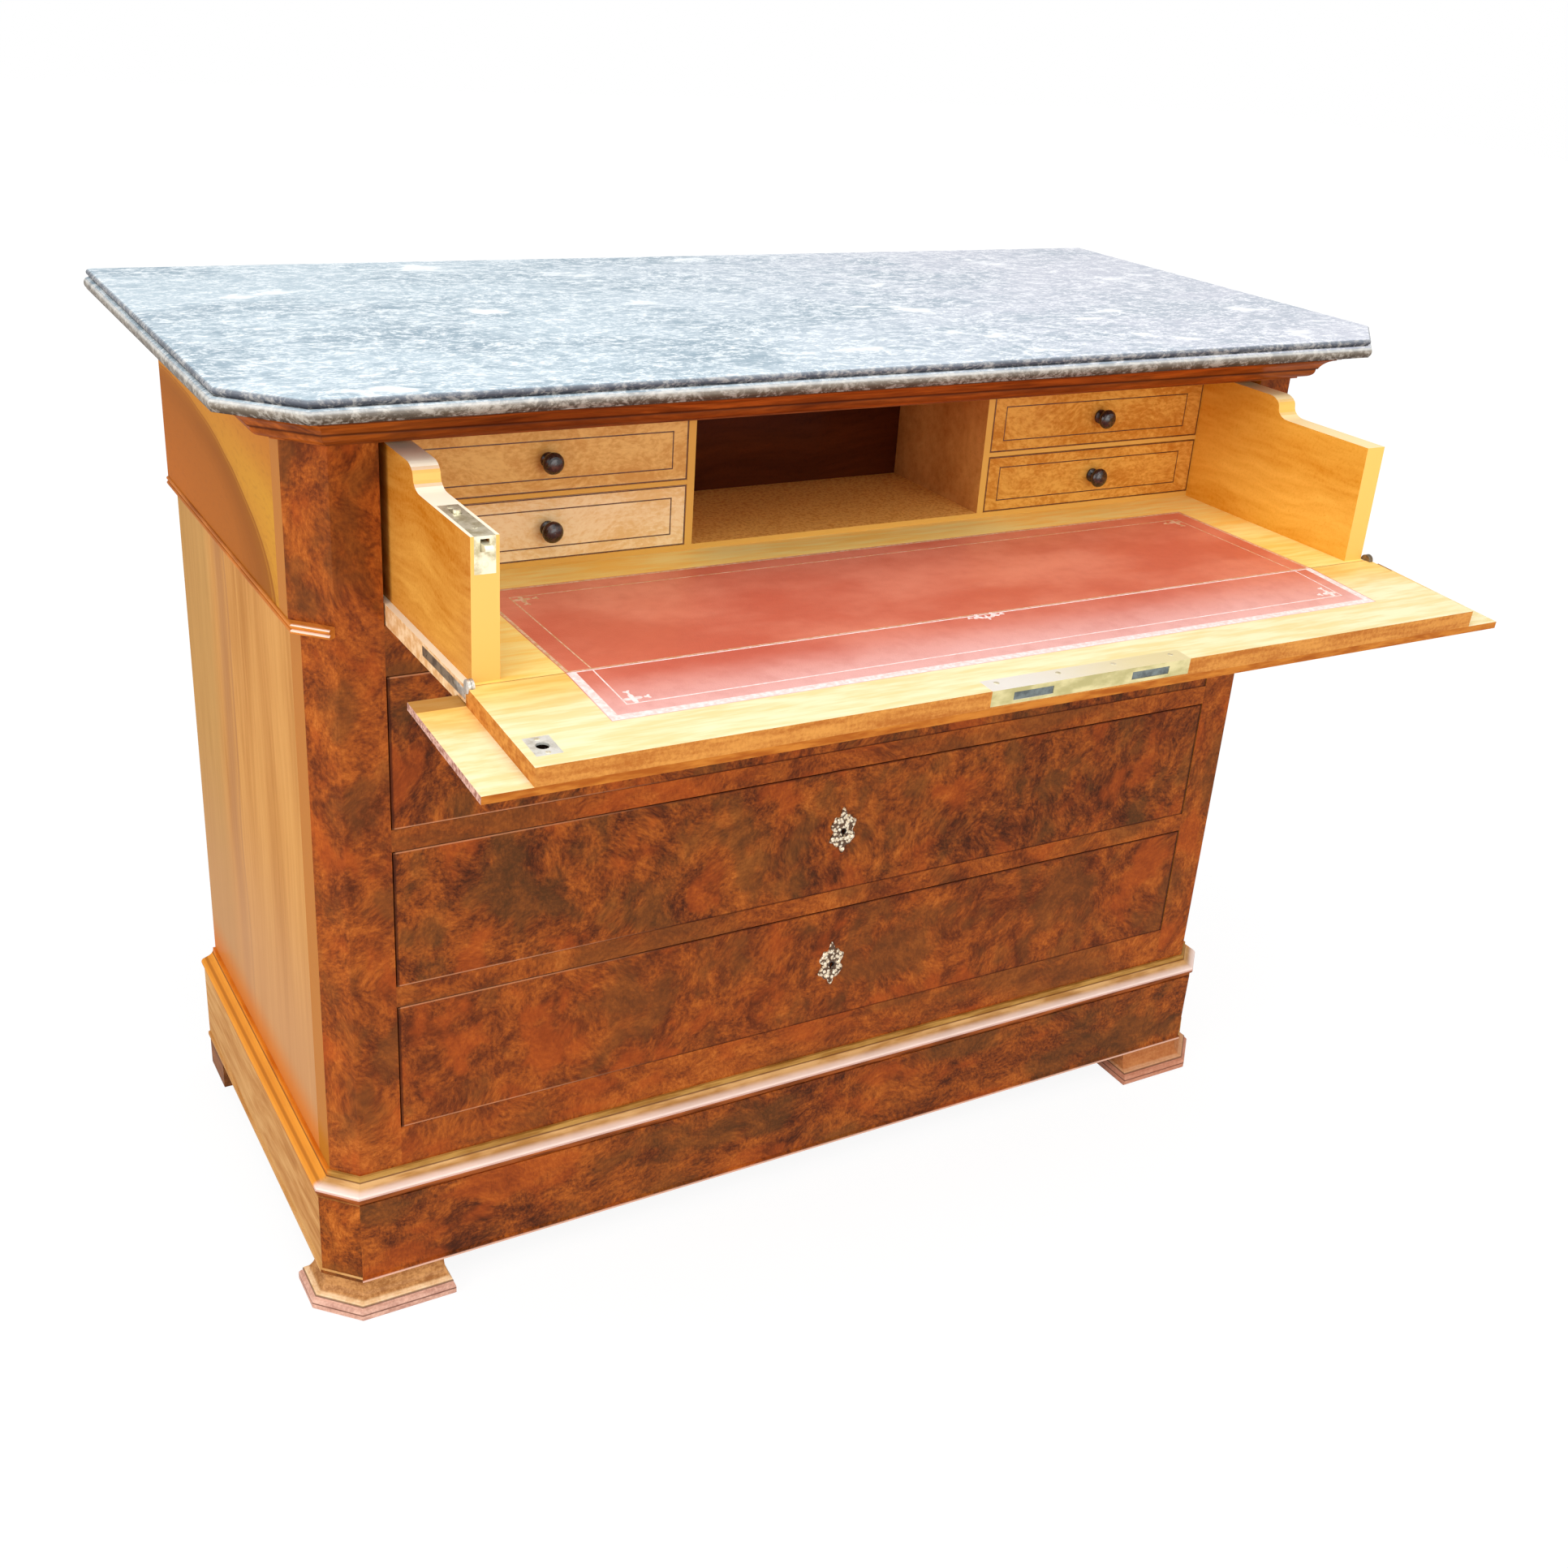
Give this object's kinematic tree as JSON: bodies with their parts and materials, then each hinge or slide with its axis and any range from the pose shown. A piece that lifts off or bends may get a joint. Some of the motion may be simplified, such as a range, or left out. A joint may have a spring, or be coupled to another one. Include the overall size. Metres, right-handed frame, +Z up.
{
  "type": "secretary chest",
  "caption": "Marble-topped chest of drawers whose top drawer pulls out and lets down its front as a leather-lined writing surface before a nest of small drawers.",
  "frame": {"origin": "middle of the space that the open chest takes on the floor: on the plane of symmetry, halfway between the front edge of the lowered fall and the back edge of the marble", "axes": "+X to the right along the front, +Y to the back, +Z up"},
  "size_m": [1.29, 0.8534, 0.976],
  "materials": {
    "marble": "polished grey marble with white flecks and veins",
    "burr_walnut": "burr walnut veneer, french polished",
    "plain_walnut": "straight-grained light walnut veneer, french polished",
    "walnut_moulding": "solid walnut moulding, french polished",
    "oak": "plain oak, waxed",
    "maple": "golden maple veneer, polished",
    "leather": "red-brown writing leather with a gold tooled border",
    "brass": "aged brass",
    "gilt_brass": "cast and gilt brass",
    "steel": "dark aged steel",
    "ebonised_wood": "turned and ebonised, polished"
  },
  "bodies": {
    "carcass": {"marble_top": "marble", "cornice_front": "walnut_moulding", "cornice_cants": "walnut_moulding", "cornice_returns": "walnut_moulding", "top_board": "oak", "top_rail": "oak", "left_stile": "burr_walnut", "right_stile": "burr_walnut", "left_side": "plain_walnut", "right_side": "plain_walnut", "frieze_sides": "plain_walnut", "frieze_beads": "walnut_moulding", "secretary_rail": "burr_walnut", "drawer_rails": "burr_walnut", "drawer_runners": "oak", "back_panel": "oak", "bottom_board": "oak", "plinth_front": "burr_walnut", "plinth_returns": "burr_walnut", "plinth_moulding": "walnut_moulding", "front_feet": "burr_walnut", "rear_feet": "plain_walnut"},
    "writing_drawer": {"writing_bed": "maple", "bed_leather": "leather", "secretary_left_side": "maple", "secretary_right_side": "maple", "secretary_back": "maple", "nest_case": "maple", "bed_hinge_straps": "steel", "catch_plate": "brass"},
    "catch": {"catch_bolt": "brass"},
    "fall": {"fall_core": "maple", "fall_face": "burr_walnut", "fall_leather": "leather", "fall_lock": "brass", "fall_escutcheon": "gilt_brass", "catch_strike": "brass", "fall_hinge_straps": "steel"},
    "fall_bolts": {"fall_lock_bolts": "brass"},
    "nest_upper_left": {"nest_drawer_upper_left": "maple", "nest_knob_upper_left": "ebonised_wood"},
    "nest_lower_left": {"nest_drawer_lower_left": "maple", "nest_knob_lower_left": "ebonised_wood"},
    "nest_upper_right": {"nest_drawer_upper_right": "maple", "nest_knob_upper_right": "ebonised_wood"},
    "nest_lower_right": {"nest_drawer_lower_right": "maple", "nest_knob_lower_right": "ebonised_wood"},
    "upper_drawer": {"upper_drawer_front": "burr_walnut", "upper_drawer_box": "oak", "upper_drawer_lock": "gilt_brass"},
    "upper_bolt": {"upper_drawer_bolt": "steel"},
    "middle_drawer": {"middle_drawer_front": "burr_walnut", "middle_drawer_box": "oak", "middle_drawer_lock": "gilt_brass"},
    "middle_bolt": {"middle_drawer_bolt": "steel"},
    "lower_drawer": {"lower_drawer_front": "burr_walnut", "lower_drawer_box": "oak", "lower_drawer_lock": "gilt_brass"},
    "lower_bolt": {"lower_drawer_bolt": "steel"}
  },
  "joints": [
    {"name": "writing_drawer_slide", "type": "slide", "parent": "carcass", "child": "writing_drawer", "axis": [0, 1, 0], "range_m": [0, 0.217]},
    {"name": "fall_hinge", "type": "hinge", "parent": "writing_drawer", "child": "fall", "pos_m": [0, -0.2843, 0.7734], "axis": [-1, 0, 0], "range_deg": [0, 93.5]},
    {"name": "catch_slide", "type": "slide", "parent": "writing_drawer", "child": "catch", "axis": [0, 1, 0], "range_m": [0, 0.0055], "stiffness_N_per_m": 600, "springref_m": -0.002},
    {"name": "fall_bolt_slide", "type": "slide", "parent": "fall", "child": "fall_bolts", "axis": [0, -0.9981, -0.061], "range_m": [0, 0.008]},
    {"name": "nest_upper_left_slide", "type": "slide", "parent": "writing_drawer", "child": "nest_upper_left", "axis": [0, -1, 0], "range_m": [0, 0.11]},
    {"name": "nest_lower_left_slide", "type": "slide", "parent": "writing_drawer", "child": "nest_lower_left", "axis": [0, -1, 0], "range_m": [0, 0.11]},
    {"name": "nest_upper_right_slide", "type": "slide", "parent": "writing_drawer", "child": "nest_upper_right", "axis": [0, -1, 0], "range_m": [0, 0.11]},
    {"name": "nest_lower_right_slide", "type": "slide", "parent": "writing_drawer", "child": "nest_lower_right", "axis": [0, -1, 0], "range_m": [0, 0.11]},
    {"name": "upper_drawer_slide", "type": "slide", "parent": "carcass", "child": "upper_drawer", "axis": [0, -1, 0], "range_m": [0, 0.33]},
    {"name": "upper_bolt_slide", "type": "slide", "parent": "upper_drawer", "child": "upper_bolt", "axis": [0, 0, 1], "range_m": [0, 0.008]},
    {"name": "middle_drawer_slide", "type": "slide", "parent": "carcass", "child": "middle_drawer", "axis": [0, -1, 0], "range_m": [0, 0.33]},
    {"name": "middle_bolt_slide", "type": "slide", "parent": "middle_drawer", "child": "middle_bolt", "axis": [0, 0, 1], "range_m": [0, 0.008]},
    {"name": "lower_drawer_slide", "type": "slide", "parent": "carcass", "child": "lower_drawer", "axis": [0, -1, 0], "range_m": [0, 0.33]},
    {"name": "lower_bolt_slide", "type": "slide", "parent": "lower_drawer", "child": "lower_bolt", "axis": [0, 0, 1], "range_m": [0, 0.008]}
  ],
  "couplings": [
    {"joint": "fall_hinge", "follows": "writing_drawer_slide", "rad_per_m": 7.52}
  ]
}
